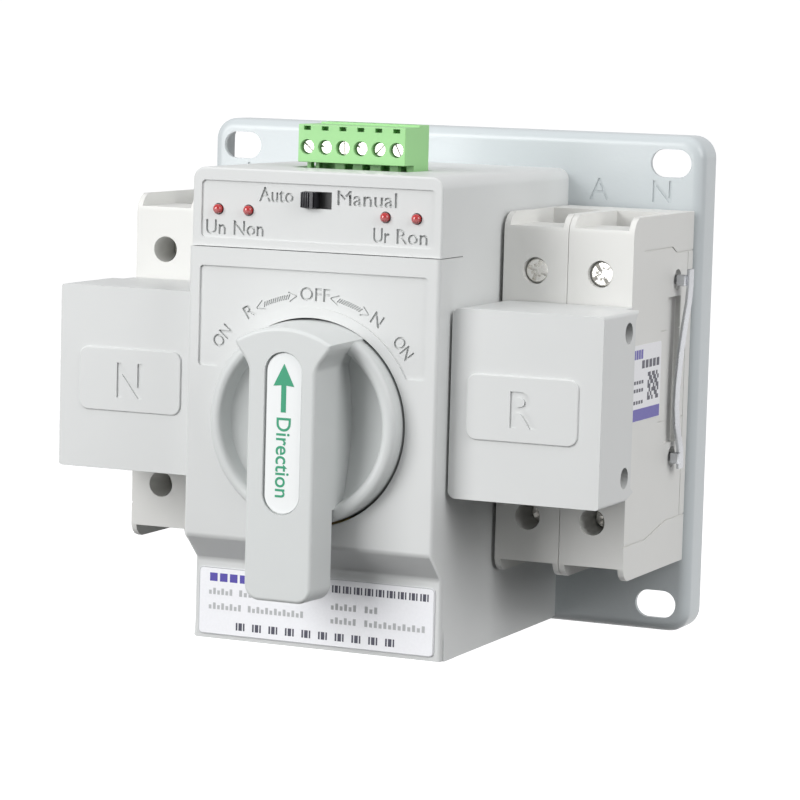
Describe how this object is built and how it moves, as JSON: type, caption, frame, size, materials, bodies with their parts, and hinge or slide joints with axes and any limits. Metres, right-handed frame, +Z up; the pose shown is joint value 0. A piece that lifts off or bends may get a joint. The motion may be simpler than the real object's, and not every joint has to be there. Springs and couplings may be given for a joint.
{
  "type": "manual transfer switch",
  "caption": "Plate-mounted two-source changeover switch: central turn handle and selector between two covered miniature breakers, with lamps and a control plug.",
  "frame": {"origin": "centre of the base plate's rear rim, in the plane of the panel it is screwed to", "axes": "+Z up, +X to the right as seen from the front, +Y from the front towards the panel; the front faces -Y"},
  "size_m": [0.1534, 0.1155, 0.1368],
  "materials": {
    "plate_paint": "powder coated, pale blue-grey, fine texture",
    "housing_plastic": "moulded light grey-white, fine spark texture",
    "handle_plastic": "moulded light grey-white, satin",
    "breaker_plastic": "moulded warm light grey",
    "toggle_plastic": "moulded black",
    "label_silver": "satin silver foil label",
    "label_white": "printed white film",
    "insert_white": "white strip, satin",
    "lamp_red": "red diffused lamp",
    "black_plastic": "moulded black",
    "terminal_green": "moulded green",
    "nickel_steel": "nickel plated",
    "zinc_steel": "zinc plated",
    "spring_steel": "bright spring strip",
    "circuit_board": "green solder mask",
    "gear_plastic": "natural acetal",
    "brass_metal": "machined",
    "copper_metal": "copper",
    "motor_steel": "plated can"
  },
  "bodies": {
    "switch_frame": {"base_plate": "plate_paint", "housing_screws": "zinc_steel", "normal_breaker_screws": "zinc_steel", "reserve_breaker_screws": "zinc_steel", "mechanism_housing": "housing_plastic", "front_cover": "housing_plastic", "nameplate": "label_silver", "lamp_board": "circuit_board", "control_board": "circuit_board", "lamp_normal_supply": "lamp_red", "lamp_normal_on": "lamp_red", "lamp_reserve_on": "lamp_red", "lamp_reserve_supply": "lamp_red", "selector_body": "black_plastic", "relays": "black_plastic", "capacitor": "black_plastic", "terminal_header": "terminal_green", "gearmotor": "motor_steel", "shaft_bush": "brass_metal", "mechanism_frame": "zinc_steel", "limit_switches": "black_plastic", "normal_inner_pole_case": "breaker_plastic", "normal_outer_pole_case": "breaker_plastic", "normal_terminal_screws": "nickel_steel", "normal_terminal_clamps": "zinc_steel", "normal_trip_coils": "copper_metal", "normal_arc_chutes": "zinc_steel", "normal_contact_arms": "copper_metal", "normal_case_rivets": "brass_metal", "normal_retaining_clip": "spring_steel", "normal_breaker_label": "label_white", "normal_toggle_pin": "nickel_steel", "normal_linkage_cover": "housing_plastic", "reserve_inner_pole_case": "breaker_plastic", "reserve_outer_pole_case": "breaker_plastic", "reserve_terminal_screws": "nickel_steel", "reserve_terminal_clamps": "zinc_steel", "reserve_trip_coils": "copper_metal", "reserve_arc_chutes": "zinc_steel", "reserve_contact_arms": "copper_metal", "reserve_case_rivets": "brass_metal", "reserve_retaining_clip": "spring_steel", "reserve_breaker_label": "label_white", "reserve_toggle_pin": "nickel_steel", "reserve_linkage_cover": "housing_plastic"},
    "turn_handle": {"rotary_handle": "handle_plastic", "direction_insert": "insert_white", "handle_screw": "zinc_steel", "drive_shaft": "nickel_steel", "drive_gear": "gear_plastic", "cam_disc": "gear_plastic"},
    "motor_pinion_body": {"motor_pinion": "brass_metal"},
    "selector": {"selector_knob": "black_plastic"},
    "control_plug": {"terminal_plug": "terminal_green", "terminal_plug_screws": "nickel_steel"},
    "normal_toggle_pair": {"normal_toggle": "toggle_plastic"},
    "normal_slide": {"normal_drive_slide": "gear_plastic"},
    "reserve_toggle_pair": {"reserve_toggle": "toggle_plastic"},
    "reserve_slide": {"reserve_drive_slide": "gear_plastic"}
  },
  "joints": [
    {"name": "handle_turn", "type": "hinge", "parent": "switch_frame", "child": "turn_handle", "pos_m": [0, -0.08, -0.0064], "axis": [0, 1, 0], "range_deg": [-45, 45]},
    {"name": "pinion_turn", "type": "hinge", "parent": "switch_frame", "child": "motor_pinion_body", "pos_m": [0, -0.07, -0.03275], "axis": [0, 1, 0], "range_deg": [-144, 144]},
    {"name": "selector_slide", "type": "slide", "parent": "switch_frame", "child": "selector", "axis": [1, 0, 0], "range_m": [0, 0.004]},
    {"name": "plug_pull", "type": "slide", "parent": "switch_frame", "child": "control_plug", "axis": [0, 0, 1], "range_m": [0, 0.0085]},
    {"name": "normal_toggle_turn", "type": "hinge", "parent": "switch_frame", "child": "normal_toggle_pair", "pos_m": [0, -0.062, 0], "axis": [-1, 0, 0], "range_deg": [0, 50]},
    {"name": "normal_slide_lift", "type": "slide", "parent": "switch_frame", "child": "normal_slide", "axis": [0, 0, 1], "range_m": [0, 0.0132]},
    {"name": "reserve_toggle_turn", "type": "hinge", "parent": "switch_frame", "child": "reserve_toggle_pair", "pos_m": [0, -0.062, 0], "axis": [-1, 0, 0], "range_deg": [0, 50]},
    {"name": "reserve_slide_lift", "type": "slide", "parent": "switch_frame", "child": "reserve_slide", "axis": [0, 0, 1], "range_m": [0, 0.0132]}
  ],
  "couplings": [
    {"joint": "pinion_turn", "follows": "handle_turn", "ratio": -3.2},
    {"joint": "normal_slide_lift", "follows": "normal_toggle_turn", "m_per_rad": 0.015013},
    {"joint": "reserve_slide_lift", "follows": "reserve_toggle_turn", "m_per_rad": 0.015013}
  ]
}
